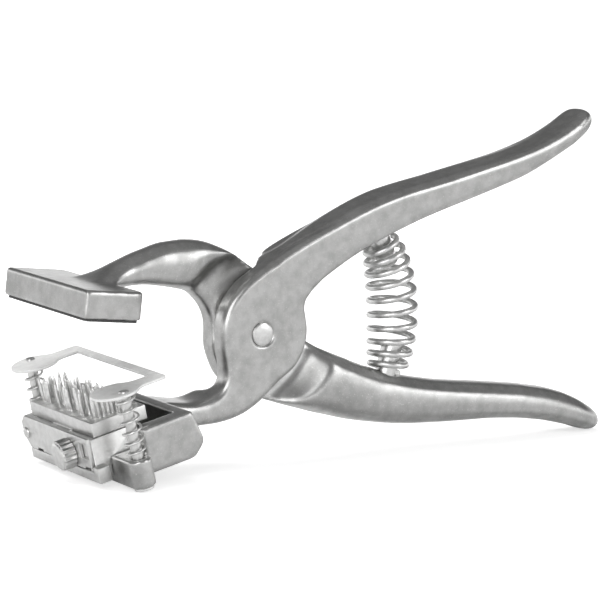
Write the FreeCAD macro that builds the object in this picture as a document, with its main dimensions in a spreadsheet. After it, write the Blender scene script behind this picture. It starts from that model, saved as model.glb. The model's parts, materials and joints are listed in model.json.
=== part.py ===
import FreeCAD, Part
import math
import os
import Sketcher

from FreeCAD import Placement, Rotation, Vector

# Tattoo pliers for livestock ears: two lap-jointed levers on one rivet.
# The near lever carries the needle head, the far lever carries the anvil.
# All lengths are millimetres and all angles are degrees.
# X runs from the jaws to the handle tips, Y across the tool, Z up as it stands.
# The levers are drawn about the pivot. The head is drawn in its own tilted frame,
# which also starts at the pivot, and so is the anvil.

doc = FreeCAD.newDocument("tattoo_pliers")
sheet = doc.addObject("Spreadsheet::Sheet", "Sizes")

drivingSizes = {
    # levers
    "lever_width": 18.0,
    "disc_radius": 18.6,
    "lap_gap": 0.1,
    "near_lap_root": 23.0,
    "near_lap_brim": 28.0,
    "far_lap_root": 23.5,
    "far_lap_brim": 33.0,
    "lever_edge": 2.0,
    "near_tip": 143.8,
    "far_tip": 153.6,
    # pivot rivet
    "rivet_diameter": 7.0,
    "rivet_head_diameter": 8.2,
    "rivet_head_height": 1.1,
    "rivet_head_rim": 0.3,
    "rivet_recess_diameter": 9.6,
    "rivet_recess_depth": 0.7,
    # tilt of the needle head and of the anvil as the tool stands open
    "head_tilt": 14.714,
    "anvil_tilt": 4.83,
    # anvil block and its pad
    "anvil_front": 82.0,
    "anvil_length": 22.4,
    "anvil_width": 61.0,
    "anvil_height": 9.6,
    "anvil_face": 5.8,
    "anvil_corner": 4.0,
    "anvil_edge": 0.9,
    "pad_thickness": 0.8,
    "pad_margin": 0.8,
    # box of the lower jaw
    "box_back": 42.4,
    "box_heel": 39.6,
    "box_heel_rise": 4.6,
    "box_heel_run": 4.9,
    "box_heel_round": 4.0,
    "box_top": 10.7,
    "box_bottom": 27.0,
    "box_margin": 4.8,
    "box_edge": 1.2,
    "box_front_wall": 3.0,
    "box_back_wall": 4.2,
    "box_side_wall": 6.0,
    "pocket_floor": 23.0,
    "plinth_top": 20.2,
    "plinth_margin": 2.8,
    # ears that guide the release pins
    "guide_reach": 11.8,
    "ear_width": 8.6,
    "ear_top": 17.2,
    # needle holder
    "holder_front": 79.6,
    "holder_length": 16.9,
    "holder_top": 9.6,
    "holder_width": 46.4,
    "bar_depth": 4.8,
    "holder_overhang": 6.1,
    "bar_top": 20.6,
    "bar_bottom": 24.2,
    "bar_near_reach": 4.1,
    "bar_far_reach": 0.4,
    "bar_lug_top": 18.7,
    "bar_lug_gap": 0.5,
    "lug_reach": 3.2,
    "slot_neck_width": 14.0,
    "slot_foot_width": 20.0,
    "slot_neck_depth": 1.8,
    "slot_foot_depth": 2.2,
    "slot_wall": 1.3,
    "slide_clearance": 0.1,
    "holder_screw_inset": 5.3,
    "holder_screw_y": 14.0,
    "holder_screw_diameter": 4.0,
    "holder_screw_head": 7.0,
    "holder_screw_head_height": 2.6,
    "holder_screw_length": 11.0,
    "screw_slot_width": 0.9,
    "screw_slot_depth": 0.9,
    # digit cassette and digits
    "cassette_setback": 1.6,
    "cassette_length": 21.0,
    "cassette_top": 4.3,
    "cassette_bottom": 9.4,
    "cassette_floor": 8.0,
    "cassette_wall": 1.5,
    "digit_length": 14.2,
    "digit_count": 5,
    "cassette_side": 1.45,
    "digit_gap": 0.1,
    "digit_rim": 0.5,
    "needle_diameter": 1.3,
    "needle_tips": 3.4,
    "needle_point_length": 2.2,
    "needle_point_taper": 10.0,
    "needle_row_pitch": 1.75,
    "needle_column_pitch": 1.55,
    # gate, its pivot screw and the knurled clamp screw
    "gate_thickness": 1.35,
    "gate_reach": 3.6,
    "gate_top": 9.0,
    "gate_bottom": 20.4,
    "gate_chamfer": 2.6,
    "gate_pivot_reach": 1.0,
    "gate_pivot_z": 15.2,
    "gate_screw_diameter": 2.4,
    "gate_screw_head": 4.6,
    "gate_screw_head_height": 0.9,
    "gate_screw_length": 4.6,
    "gate_notch_width": 4.4,
    "gate_notch_depth": 0.9,
    "gate_notch_near": 19.8,
    "gate_notch_far": 15.8,
    "gate_window_near": 21.9,
    "gate_window_far": 16.4,
    "gate_window_top": 11.4,
    "gate_window_bottom": 16.6,
    "running_clearance": 0.05,
    "clamp_y": 9.0,
    "clamp_z": 16.0,
    "clamp_shank": 3.6,
    "clamp_head": 9.4,
    "clamp_head_length": 4.5,
    "clamp_shank_length": 9.0,
    "clamp_flutes": 18,
    "clamp_flute": 1.2,
    "clamp_slot_width": 4.8,
    # release plate, guide pins, rings and springs
    "plate_top": 6.1,
    "plate_thickness": 1.1,
    "plate_side_inset": 1.5,
    "plate_window_margin": 3.05,
    "plate_reach": 28.1,
    "plate_back_bar": 3.4,
    "plate_ear_radius": 8.3,
    "plate_ear_inset": 5.0,
    "plate_ear_lead": 0.8,
    "plate_ear_blend": 5.0,
    "plate_corner": 2.0,
    "pin_diameter": 3.8,
    "pin_neck": 2.4,
    "pin_head_diameter": 3.6,
    "pin_head_height": 0.5,
    "pin_end": 28.6,
    "pin_chamfer": 0.3,
    "ring_diameter": 6.8,
    "ring_thickness": 0.9,
    "release_spring_diameter": 6.0,
    "release_wire": 0.75,
    "release_turns": 7,
    # main spring and its pegs
    "spring_upper_x": 51.7,
    "spring_upper_z": 32.5,
    "spring_upper_slope": 24.3,
    "spring_lower_x": 56.9,
    "spring_lower_z": -19.0,
    "spring_lower_slope": 13.5,
    "spring_seat": 0.5,
    "spring_wire": 2.2,
    "spring_end_diameter": 13.2,
    "spring_middle_diameter": 19.1,
    "spring_turns": 10,
    "spring_fullness": 0.6,
    "coil_closing": -0.012,
    "peg_diameter": 7.5,
    "peg_height": 12.5,
    "peg_root": 5.0,
    "peg_socket_lead": 1.5,
    "peg_chamfer": 0.8,
    "press_clearance": 0.02,
}

# sizes that follow from others: the head is measured back from the holder's front
# and out from the holder's sides
followingSizes = {
    "bar_front": "=holder_front + gate_thickness + running_clearance",
    "bar_back": "=bar_front - bar_depth",
    "holder_back": "=holder_front - holder_length",
    "slot_end": "=holder_back + slot_wall",
    "plinth_front": "=holder_front - holder_overhang",
    "guide_x": "=plinth_front - ear_width / 2",
    "holder_screw_x": "=holder_back + holder_screw_inset",
    "box_front": "=holder_back - 2 * slide_clearance",
    "pocket_front": "=box_front - box_front_wall",
    "pocket_back": "=box_back + box_back_wall",
    "cassette_front": "=holder_front - cassette_setback",
    "cassette_back": "=cassette_front - cassette_length",
    "digit_front": "=cassette_front - cassette_wall",
    "pad_length": "=anvil_length - 3 * pad_margin",
    "plinth_width": "=holder_width + 2 * plinth_margin",
    "box_width": "=holder_width + 2 * box_margin",
    "pocket_width": "=box_width - 2 * box_side_wall",
    "guide_y": "=holder_width / 2 + guide_reach",
    "bar_near": "=holder_width / 2 + bar_near_reach",
    "bar_far": "=holder_width / 2 + bar_far_reach",
    "lug_far": "=holder_width / 2 + lug_reach",
    "gate_near": "=holder_width / 2 + slide_clearance",
    "gate_far": "=holder_width / 2 + gate_reach",
    "gate_pivot_y": "=holder_width / 2 + gate_pivot_reach",
    "digit_pitch": "=(holder_width - 2 * cassette_side) / digit_count",
    "plate_back": "=holder_front - plate_reach",
    "plate_width": "=2 * (guide_y - plate_side_inset)",
    "plate_window": "=holder_width + 2 * plate_window_margin",
    "plate_ear_y": "=guide_y - plate_ear_inset",
}

for row, (name, amount) in enumerate({**drivingSizes, **followingSizes}.items(), start=1):
    sheet.set("A%d" % row, name)
    sheet.set("B%d" % row, str(amount))
    sheet.setAlias("B%d" % row, name)
doc.recompute()


def size(name):
    return float(sheet.get(name))


# Frames: the head and the anvil start at the pivot and tilt about Y
pivotFrame = Placement()
headFrame = Placement(Vector(), Rotation(Vector(0, 1, 0), -size("head_tilt")))
anvilFrame = Placement(Vector(), Rotation(Vector(0, 1, 0), size("anvil_tilt")))

# Every finished piece, with the frame that it is drawn in
pieces = []


def keep(piece, label, frame):
    piece.Label = label
    piece.Placement = frame
    pieces.append(piece)
    return piece


# Sketches and features whose sizes are formulas on the sheet


def amountOf(owner, formula):
    amount = owner.evalExpression(formula)
    return float(getattr(amount, "Value", amount))


def newBody(name):
    return doc.addObject("PartDesign::Body", name)


def newSketch(body, role, name, lift=None):
    plane = [feature for feature in body.Origin.OriginFeatures if feature.Role == role][0]
    sketch = body.newObject("Sketcher::SketchObject", name)
    sketch.AttachmentSupport = [(plane, "")]
    sketch.MapMode = "FlatFace"
    if lift:
        sketch.setExpression("AttachmentOffset.Base.z", lift)
    return sketch


def fixPoint(sketch, geometry, end, spot):
    for kind, formula in zip(("DistanceX", "DistanceY"), spot):
        amount = amountOf(sketch, formula)
        rule = Sketcher.Constraint(kind, -1, 1, geometry, end, amount)
        index = sketch.addConstraint(rule)
        sketch.setExpression("Constraints[%d]" % index, formula)


def polygon(sketch, corners):
    """corners are pairs of formulas, in drawing order"""
    spots = [Vector(amountOf(sketch, a), amountOf(sketch, b), 0) for a, b in corners]
    first = sketch.GeometryCount
    count = len(spots)
    for i in range(count):
        sketch.addGeometry(Part.LineSegment(spots[i], spots[(i + 1) % count]), False)
    for i in range(count):
        following = first + (i + 1) % count
        sketch.addConstraint(Sketcher.Constraint("Coincident", first + i, 2, following, 1))
    for i, spot in enumerate(corners):
        fixPoint(sketch, first + i, 1, spot)


def rectangle(sketch, left, right, low, high):
    polygon(sketch, [(left, low), (right, low), (right, high), (left, high)])


def circle(sketch, spot, radius):
    centre = Vector(amountOf(sketch, spot[0]), amountOf(sketch, spot[1]), 0)
    ring = Part.Circle(centre, Vector(0, 0, 1), amountOf(sketch, radius))
    index = sketch.addGeometry(ring, False)
    fixPoint(sketch, index, 3, spot)
    rim = sketch.addConstraint(Sketcher.Constraint("Radius", index, ring.Radius))
    sketch.setExpression("Constraints[%d]" % rim, radius)


def pad(body, sketch, length, symmetric=False, reverse=False, taper=None):
    feature = body.newObject("PartDesign::Pad", sketch.Name + "Pad")
    feature.Profile = sketch
    feature.Midplane = symmetric
    feature.Reversed = reverse
    feature.setExpression("Length", length)
    if taper:
        feature.setExpression("TaperAngle", taper)
    doc.recompute()
    return feature


def pocket(body, sketch, length=None, symmetric=False, reverse=False):
    """cuts to the length, or right through where no length is given"""
    before = body.Shape.Volume
    feature = body.newObject("PartDesign::Pocket", sketch.Name + "Pocket")
    feature.Profile = sketch
    feature.Midplane = symmetric
    feature.Reversed = reverse
    if length:
        feature.setExpression("Length", length)
    else:
        feature.Type = "ThroughAll"
    doc.recompute()
    if not body.Shape.Volume < before - 0.01:
        raise RuntimeError(sketch.Name + " removes nothing")
    return feature


def turn(body, sketch, remove=False):
    """revolves the sketch about its own vertical axis, as a solid or as a cut"""
    kind = "PartDesign::Groove" if remove else "PartDesign::Revolution"
    feature = body.newObject(kind, sketch.Name + "Turn")
    feature.Profile = sketch
    feature.ReferenceAxis = (sketch, ["V_Axis"])
    feature.Angle = 360
    doc.recompute()
    return feature


def roundEdges(body, radius, wanted):
    """fillets the edges for which wanted(box of the edge, middle of the edge) holds"""
    base = body.Tip
    names = []
    for i, edge in enumerate(base.Shape.Edges, start=1):
        middle = edge.valueAt((edge.FirstParameter + edge.LastParameter) / 2)
        if wanted(edge.BoundBox, middle):
            names.append("Edge%d" % i)
    feature = body.newObject("PartDesign::Fillet", body.Name + "Round")
    feature.Base = (base, names)
    feature.setExpression("Radius", radius)
    doc.recompute()
    return feature


def isUpright(box):
    return box.XLength < 1e-4 and box.YLength < 1e-4 and box.ZLength > 0.5


def near(amount, target):
    return abs(amount - target) < 1e-3


def cylinder(name, radius, height, base, direction):
    tool = doc.addObject("Part::Cylinder", name)
    tool.setExpression("Radius", radius)
    tool.setExpression("Height", height)
    tool.Placement = Placement(base, Rotation(Vector(0, 0, 1), direction))
    return tool


def fuse(name, shapes):
    joined = doc.addObject("Part::MultiFuse", name)
    joined.Shapes = shapes
    joined.Refine = True
    return joined


def cut(name, base, tool):
    remainder = doc.addObject("Part::Cut", name)
    remainder.Base = base
    remainder.Tool = tool
    return remainder


# Levers: a smooth outline of the whole lever, rounded over on both faces,
# then cut to half its width about the pivot so that the two halves lap


def onDisc(angle):
    turned = math.radians(angle)
    return (size("disc_radius") * math.cos(turned), size("disc_radius") * math.sin(turned))


def smoothRun(points, breaks):
    """one smooth curve through the points, split at the numbered ones"""
    spots = [Vector(x, z, 0) for x, z in points]
    whole = Part.BSplineCurve()
    whole.interpolate(spots)
    marks = [whole.parameter(spots[i]) for i in [0] + breaks + [len(spots) - 1]]
    run = []
    for start, end in zip(marks, marks[1:]):
        stretch = whole.copy()
        stretch.segment(start, end)
        run.append(stretch)
    return run


def lever(name, outline, tip, lapRoot, lapBrim, lapSide, boreRadius):
    """lapSide is 1 where the half beyond the middle plane is cut away, -1 for this half"""
    body = newBody(name)
    half = size("lever_width") / 2

    profile = newSketch(body, "XZ_Plane", name + "Outline")
    for stretch in outline:
        profile.addGeometry(stretch, False)
    closing = Part.LineSegment(outline[-1].EndPoint, outline[0].StartPoint)
    profile.addGeometry(closing, False)
    pad(body, profile, "Sizes.lever_width", symmetric=True)
    flank = max(closing.StartPoint.x, closing.EndPoint.x) + 0.1
    roundEdges(body, "Sizes.lever_edge", lambda box, middle: (
        near(abs(middle.y), half) and box.YLength < 1e-4 and box.XMax > flank))

    # the handle's end is a half circle in plan
    plan = newSketch(body, "XY_Plane", name + "TipPlan")
    start = tip - half
    beyond = half * 1.5
    corners = [(start, half), (start, beyond), (tip + half, beyond),
               (tip + half, -beyond), (start, -beyond), (start, -half)]
    spots = [Vector(x, y, 0) for x, y in corners]
    for a, b in zip(spots, spots[1:]):
        plan.addGeometry(Part.LineSegment(a, b), False)
    plan.addGeometry(Part.Arc(spots[-1], Vector(tip, 0, 0), spots[0]), False)
    pocket(body, plan, symmetric=True)

    # the shoulder of the lap sweeps up from its root to its brim in an S-shaped curve
    lap = newSketch(body, "XY_Plane", name + "Lap")
    side = "%d * " % lapSide
    floor = side + "-Sizes.lap_gap / 2"
    brim = side + "Sizes.lever_width / 2"
    beyond = side + "(Sizes.lever_width / 2 + 1)"
    slope = [(lapRoot, floor)]
    for share, rise in ((0.2, 0.03), (0.4, 0.14), (0.6, 0.38), (0.78, 0.68), (0.9, 0.88)):
        slope.append(("%s + %s * (%s - %s)" % (lapRoot, share, lapBrim, lapRoot),
                      side + "(%s * (Sizes.lever_width + Sizes.lap_gap) / 2"
                      " - Sizes.lap_gap / 2)" % rise))
    polygon(lap, [("0", floor)] + slope + [(lapBrim, brim), (lapBrim, beyond), ("0", beyond)])
    turn(body, lap, remove=True)

    bore = newSketch(body, "XZ_Plane", name + "Bore")
    circle(bore, ("0", "0"), boreRadius)
    pocket(body, bore, symmetric=True)

    recess = newSketch(body, "XZ_Plane", name + "Recess",
                       "%d * (Sizes.lever_width / 2 - Sizes.rivet_recess_depth)" % lapSide)
    circle(recess, ("0", "0"), "Sizes.rivet_recess_diameter / 2")
    pocket(body, recess, "Sizes.lever_width", reverse=(lapSide > 0))
    return body


nearOutline = smoothRun(
    [(-40.7, -22.3), (-33.5, -22.2), (-25.5, -22.9), (-19.6, -21.3), (-15.7, -18.6),
     (-14.0, -14.5), (-14.7, -9.0), (-15.9, -2.0), (-15.9, 4.5), (-13.2, 11.6),
     (-7.5, 17.8), (-1.5, 22.0), (5.5, 26.2), (14.5, 31.0), (25.5, 36.4), (38.0, 41.9),
     (54.5, 47.6), (71.5, 51.5), (88.5, 55.6), (106.0, 60.0), (119.5, 64.6), (130.0, 69.8),
     (136.5, 73.9), (140.2, 75.6), (142.8, 74.9), (143.8, 72.8), (142.8, 70.4),
     (140.0, 68.5), (134.0, 65.2), (126.0, 60.6), (112.5, 53.6), (98.0, 48.2), (82.0, 43.2),
     (68.0, 38.8), (54.0, 33.5), (40.5, 27.4), (28.0, 19.8), (20.4, 13.9), (17.9, 11.2),
     (17.3, 8.6), onDisc(14), onDisc(-5), onDisc(-25), onDisc(-45), onDisc(-63),
     (1.2, -23.0), (-5.6, -27.4), (-11.5, -29.8), (-18.0, -31.0), (-24.5, -31.3),
     (-31.0, -32.2), (-37.5, -34.2)],
    [5, 11, 17, 22, 29, 35, 40, 44])
nearLever = lever("near_lever", nearOutline, size("near_tip"), "Sizes.near_lap_root",
                  "Sizes.near_lap_brim", 1,
                  "Sizes.rivet_diameter / 2 + Sizes.press_clearance")

farOutline = smoothRun(
    [(-66.0, 21.4), (-59.4, 23.4), (-55.4, 24.9), (-47.8, 27.5), (-40.1, 30.3),
     (-32.4, 32.1), (-24.5, 32.5), (-16.6, 31.1), (-8.5, 27.8), (-1.0, 23.2), (6.5, 18.6),
     onDisc(52), onDisc(35), onDisc(20), (18.7, 2.4), (21.4, -2.6), (28.0, -7.4),
     (34.0, -10.6), (42.6, -14.6), (51.3, -17.7), (68.8, -21.9), (91.0, -24.8),
     (113.5, -26.9), (128.0, -29.2), (140.0, -33.0), (148.0, -36.8), (152.0, -39.2),
     (153.6, -42.2), (152.2, -45.0), (148.6, -45.4), (138.0, -42.3), (126.0, -39.4),
     (103.0, -36.9), (81.0, -36.4), (59.3, -35.5), (38.0, -32.5), (17.0, -27.9),
     (8.6, -25.6), (1.1, -22.9), (-5.3, -19.9), (-10.2, -15.7), (-12.9, -10.8),
     (-14.8, -5.0), (-15.1, 2.5), (-16.4, 7.0), (-19.6, 11.4), (-23.9, 14.5),
     (-33.0, 17.9), (-41.0, 19.9), (-48.8, 20.2), (-56.0, 18.4), (-66.0, 15.0)],
    [6, 11, 16, 21, 27, 33, 38, 43, 47])
farLever = lever("far_lever", farOutline, size("far_tip"), "Sizes.far_lap_root",
                 "Sizes.far_lap_brim", -1,
                 "Sizes.rivet_diameter / 2 + Sizes.running_clearance")

# Seats of the main spring: a peg is pressed square into each handle, so the spring
# leaves both handles squarely and bows between them
springTop = Vector(size("spring_upper_x"), 0, size("spring_upper_z"))
springFoot = Vector(size("spring_lower_x"), 0, size("spring_lower_z"))
topSlope = math.radians(size("spring_upper_slope"))
footSlope = math.radians(size("spring_lower_slope"))
intoTop = Vector(-math.sin(topSlope), 0, math.cos(topSlope))
fromFoot = Vector(math.sin(footSlope), 0, math.cos(footSlope))


def pegSocket(name, seat, inward):
    """the socket starts a little outside the seat, to clear the handle's curved side"""
    return cylinder(name, "Sizes.peg_diameter / 2 + Sizes.press_clearance",
                    "Sizes.peg_root + Sizes.peg_socket_lead",
                    seat - inward * size("peg_socket_lead"), inward)


# Lower jaw: an open box with a plinth in front of it and an ear at each side
jawBox = newBody("jaw_box")
side = newSketch(jawBox, "XZ_Plane", "BoxSide")
polygon(side, [
    ("-Sizes.box_front", "-Sizes.box_bottom"),
    ("-Sizes.box_front", "-Sizes.box_top"),
    ("-Sizes.box_back", "-Sizes.box_top"),
    ("-Sizes.box_heel", "-Sizes.box_bottom + Sizes.box_heel_rise"),
    ("-Sizes.box_heel - Sizes.box_heel_run", "-Sizes.box_bottom"),
])
pad(jawBox, side, "Sizes.box_width", symmetric=True)
halfBox = size("box_width") / 2
roundEdges(jawBox, "Sizes.box_heel_round", lambda box, middle: (
    box.YLength > size("box_width") - 1 and box.XMin > -size("box_front") + 1
    and box.ZMax < -size("box_top") - 1))
roundEdges(jawBox, "Sizes.box_edge", lambda box, middle: (
    (near(box.YMin, -halfBox) and near(box.YMax, -halfBox))
    or (near(box.YMin, halfBox) and near(box.YMax, halfBox))
    or (near(box.ZMax, -size("box_top")) and near(box.XMin, -size("box_back")))))

plinth = newSketch(jawBox, "XY_Plane", "Plinth", "-Sizes.box_bottom")
rectangle(plinth, "-Sizes.plinth_front", "-Sizes.box_front + Sizes.box_edge",
          "-Sizes.plinth_width / 2", "Sizes.plinth_width / 2")
pad(jawBox, plinth, "Sizes.box_bottom - Sizes.plinth_top")

for hand in (-1, 1):
    ear = newSketch(jawBox, "XY_Plane", "Ear%s" % ("Near" if hand < 0 else "Far"),
                    "-Sizes.box_bottom")
    inner = "%d * (Sizes.holder_width / 2 + 2 * Sizes.slide_clearance)" % hand
    outer = "%d * Sizes.guide_y" % hand
    front = "-Sizes.guide_x - Sizes.ear_width / 2"
    back = "-Sizes.guide_x + Sizes.ear_width / 2"
    rectangle(ear, front, back, inner, outer)
    pad(jawBox, ear, "Sizes.box_bottom - Sizes.ear_top")
    nose = newSketch(jawBox, "XY_Plane", ear.Name + "Nose", "-Sizes.box_bottom")
    circle(nose, ("-Sizes.guide_x", outer), "Sizes.ear_width / 2")
    pad(jawBox, nose, "Sizes.box_bottom - Sizes.ear_top")
    guide = newSketch(jawBox, "XY_Plane", ear.Name + "Guide", "-Sizes.ear_top + 1")
    circle(guide, ("-Sizes.guide_x", outer), "Sizes.pin_diameter / 2 + Sizes.running_clearance")
    pocket(jawBox, guide, "Sizes.box_bottom")

hollow = newSketch(jawBox, "XY_Plane", "Hollow", "-Sizes.box_top + 1")
rectangle(hollow, "-Sizes.pocket_front", "-Sizes.pocket_back",
          "-Sizes.pocket_width / 2", "Sizes.pocket_width / 2")
pocket(jawBox, hollow, "Sizes.pocket_floor - Sizes.box_top + 1")
cornerX = (-size("pocket_front"), -size("pocket_back"))
roundEdges(jawBox, "Sizes.box_edge", lambda box, middle: isUpright(box) and (
    near(box.XMin, cornerX[0]) or near(box.XMin, cornerX[1]))
    and near(abs(box.YMin), size("pocket_width") / 2))

# two screws come up through the plinth into the needle holder
for hand in (-1, 1):
    label = "Near" if hand < 0 else "Far"
    spot = ("-Sizes.holder_screw_x", "%d * Sizes.holder_screw_y" % hand)
    shank = newSketch(jawBox, "XY_Plane", "PlinthScrew" + label, "-Sizes.plinth_top + 1")
    circle(shank, spot, "Sizes.holder_screw_diameter / 2 + Sizes.press_clearance")
    pocket(jawBox, shank, "Sizes.box_bottom")
    seat = newSketch(jawBox, "XY_Plane", "PlinthScrewSeat" + label,
                     "-Sizes.box_bottom + Sizes.holder_screw_head_height")
    circle(seat, spot, "Sizes.holder_screw_head / 2 + Sizes.press_clearance")
    pocket(jawBox, seat, "Sizes.box_bottom")
jawBox.Placement = headFrame

lowerJaw = cut("lower_jaw", fuse("lower_jaw_blank", [nearLever, jawBox]),
               pegSocket("upper_peg_socket", springTop, intoTop))
doc.recompute()
keep(lowerJaw, "lower_jaw_casting", pivotFrame)

# Upper jaw: a flat anvil block on the far lever
anvil = newBody("anvil_block")
face = newSketch(anvil, "XY_Plane", "AnvilPlan", "Sizes.anvil_face")
rectangle(face, "-Sizes.anvil_front", "-Sizes.anvil_front + Sizes.anvil_length",
          "-Sizes.anvil_width / 2", "Sizes.anvil_width / 2")
pad(anvil, face, "Sizes.anvil_height")
anvilBack = -size("anvil_front") + size("anvil_length")
roundEdges(anvil, "Sizes.anvil_corner", lambda box, middle: (
    isUpright(box) and near(box.XMin, anvilBack)))
roundEdges(anvil, "Sizes.anvil_edge", lambda box, middle: (
    isUpright(box) or (box.ZLength < 1e-4 and box.ZMin > size("anvil_face") + 1)))
anvil.Placement = anvilFrame

upperJaw = cut("upper_jaw", fuse("upper_jaw_blank", [farLever, anvil]),
               pegSocket("lower_peg_socket", springFoot, fromFoot * -1))
doc.recompute()
keep(upperJaw, "upper_jaw_casting", pivotFrame)

anvilPad = newBody("pad_sheet")
face = newSketch(anvilPad, "XY_Plane", "PadPlan", "Sizes.anvil_face - Sizes.pad_thickness")
halfPad = "(Sizes.anvil_width / 2 - Sizes.pad_margin)"
rectangle(face, "-Sizes.anvil_front + Sizes.pad_margin",
          "-Sizes.anvil_front + Sizes.pad_margin + Sizes.pad_length", "-" + halfPad, halfPad)
pad(anvilPad, face, "Sizes.pad_thickness")
roundEdges(anvilPad, "Sizes.anvil_corner / 2", lambda box, middle: isUpright(box))
keep(anvilPad, "anvil_pad", anvilFrame)

# Pivot rivet: a shank with a low domed head in a recess on each face
rivet = newBody("rivet")
turned = newSketch(rivet, "XY_Plane", "RivetTurned")
headBase = "(Sizes.lever_width / 2 - Sizes.rivet_recess_depth)"
domeRise = "(Sizes.rivet_head_height - Sizes.rivet_head_rim)"
dome = []
for angle in range(0, 90, 15):
    share, rise = math.cos(math.radians(angle)), math.sin(math.radians(angle))
    dome.append(("%.4f * Sizes.rivet_head_diameter / 2" % share,
                 "%s + Sizes.rivet_head_rim + %.4f * %s" % (headBase, rise, domeRise)))
dome.append(("0", "%s + Sizes.rivet_head_height" % headBase))
headSide = [("Sizes.rivet_diameter / 2", headBase), ("Sizes.rivet_head_diameter / 2", headBase)]
upperHalf = headSide + dome
lowerHalf = [(across, "-(%s)" % height) for across, height in reversed(upperHalf)]
polygon(turned, lowerHalf + upperHalf)
turn(rivet, turned)
keep(rivet, "pivot_rivet", pivotFrame)

# Spring pegs
for label, seat, outward in (("upper_spring_peg", springTop, intoTop * -1),
                             ("lower_spring_peg", springFoot, fromFoot)):
    peg = newBody(label + "_turned")
    turned = newSketch(peg, "XZ_Plane", label + "Turned")
    polygon(turned, [
        ("0", "-Sizes.peg_root"), ("Sizes.peg_diameter / 2", "-Sizes.peg_root"),
        ("Sizes.peg_diameter / 2", "Sizes.peg_height - Sizes.peg_chamfer"),
        ("Sizes.peg_diameter / 2 - Sizes.peg_chamfer", "Sizes.peg_height"),
        ("0", "Sizes.peg_height"),
    ])
    turn(peg, turned)
    keep(peg, label, Placement(seat, Rotation(Vector(0, 0, 1), outward)))


def bentLine(foot, fromFoot, top, intoTop):
    """point and cross direction, from 0 to 1, along a line that leaves both ends squarely"""
    reach = (top - foot).Length / 3
    first = foot + fromFoot * reach
    second = top - intoTop * reach

    def at(t):
        u = 1 - t
        spot = foot * (u ** 3) + first * (3 * u * u * t) + second * (3 * u * t * t) + top * t ** 3
        along = ((first - foot) * (u * u) + (second - first) * (2 * u * t)
                 + (top - second) * (t * t))
        return spot, Vector(along.z, 0, -along.x).normalize()
    return at


def coil(name, wire, turns, radiusAt, lineAt):
    """a coil spring about the line; both functions take 0 to 1 along the spring"""
    steps = 12 * turns
    path = []
    for i in range(steps + 1):
        t = i / steps
        spot, cross = lineAt(t + size("coil_closing") * math.sin(2 * math.pi * t))
        angle = 2 * math.pi * turns * t
        r = radiusAt(t)
        path.append(spot + cross * (r * math.cos(angle)) + Vector(0, r * math.sin(angle), 0))
    spline = Part.BSplineCurve()
    spline.interpolate(path)
    spine = Part.Wire([spline.toShape()])
    start = Part.Circle(path[0], spline.tangent(spline.FirstParameter)[0], wire / 2)
    section = Part.Wire([start.toShape()])
    spring = doc.addObject("Part::Feature", name)
    spring.Shape = spine.makePipeShell([section], True, True)
    return spring


endRadius = (size("spring_end_diameter") - size("spring_wire")) / 2
middleRadius = (size("spring_middle_diameter") - size("spring_wire")) / 2
endGap = size("spring_seat") + size("spring_wire") / 2
mainSpring = coil("main_coil", size("spring_wire"), int(size("spring_turns")),
                  lambda t: endRadius + (middleRadius - endRadius)
                  * math.sin(math.pi * t) ** size("spring_fullness"),
                  bentLine(springFoot + fromFoot * endGap, fromFoot,
                           springTop - intoTop * endGap, intoTop))
keep(mainSpring, "main_spring", pivotFrame)

# Needle holder: a block on the plinth with a bar along its foot and, at the far end,
# a lug for the gate's pivot. A T-slot from the front takes the cassette's tongue.
holder = newBody("holder")
block = newSketch(holder, "XY_Plane", "HolderBlock", "-Sizes.plinth_top")
rectangle(block, "-Sizes.holder_front", "-Sizes.holder_back",
          "-Sizes.holder_width / 2", "Sizes.holder_width / 2")
pad(holder, block, "Sizes.plinth_top - Sizes.holder_top")
foot = newSketch(holder, "XY_Plane", "HolderFoot", "-Sizes.bar_bottom")
rectangle(foot, "-Sizes.bar_front", "-Sizes.plinth_front",
          "-Sizes.holder_width / 2", "Sizes.holder_width / 2")
pad(holder, foot, "Sizes.bar_bottom - Sizes.bar_top")
filler = newSketch(holder, "XY_Plane", "HolderNeck", "-Sizes.bar_top")
rectangle(filler, "-Sizes.holder_front", "-Sizes.plinth_front",
          "-Sizes.holder_width / 2", "Sizes.holder_width / 2")
pad(holder, filler, "Sizes.bar_top - Sizes.plinth_top")
bar = newSketch(holder, "XY_Plane", "HolderBar", "-Sizes.bar_bottom")
rectangle(bar, "-Sizes.bar_front", "-Sizes.bar_back", "-Sizes.bar_near", "Sizes.bar_far")
pad(holder, bar, "Sizes.bar_bottom - Sizes.bar_top")
stop = newSketch(holder, "XY_Plane", "HolderStop", "-Sizes.bar_bottom")
rectangle(stop, "-Sizes.bar_front", "-Sizes.bar_back",
          "-Sizes.bar_near", "-Sizes.gate_near - Sizes.bar_lug_gap")
pad(holder, stop, "Sizes.bar_bottom - Sizes.bar_lug_top")
lug = newSketch(holder, "YZ_Plane", "HolderLug", "-Sizes.holder_front")
polygon(lug, [
    ("Sizes.bar_far - Sizes.gate_chamfer", "-Sizes.bar_top"),
    ("Sizes.bar_far - 0.5 * Sizes.gate_chamfer", "-Sizes.bar_top"),
    ("Sizes.lug_far", "-Sizes.bar_top + 1.6 * Sizes.gate_chamfer"),
    ("Sizes.lug_far", "-Sizes.holder_top"),
    ("Sizes.bar_far - Sizes.gate_chamfer", "-Sizes.holder_top"),
])
pad(holder, lug, "Sizes.holder_front - Sizes.bar_back")


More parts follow.
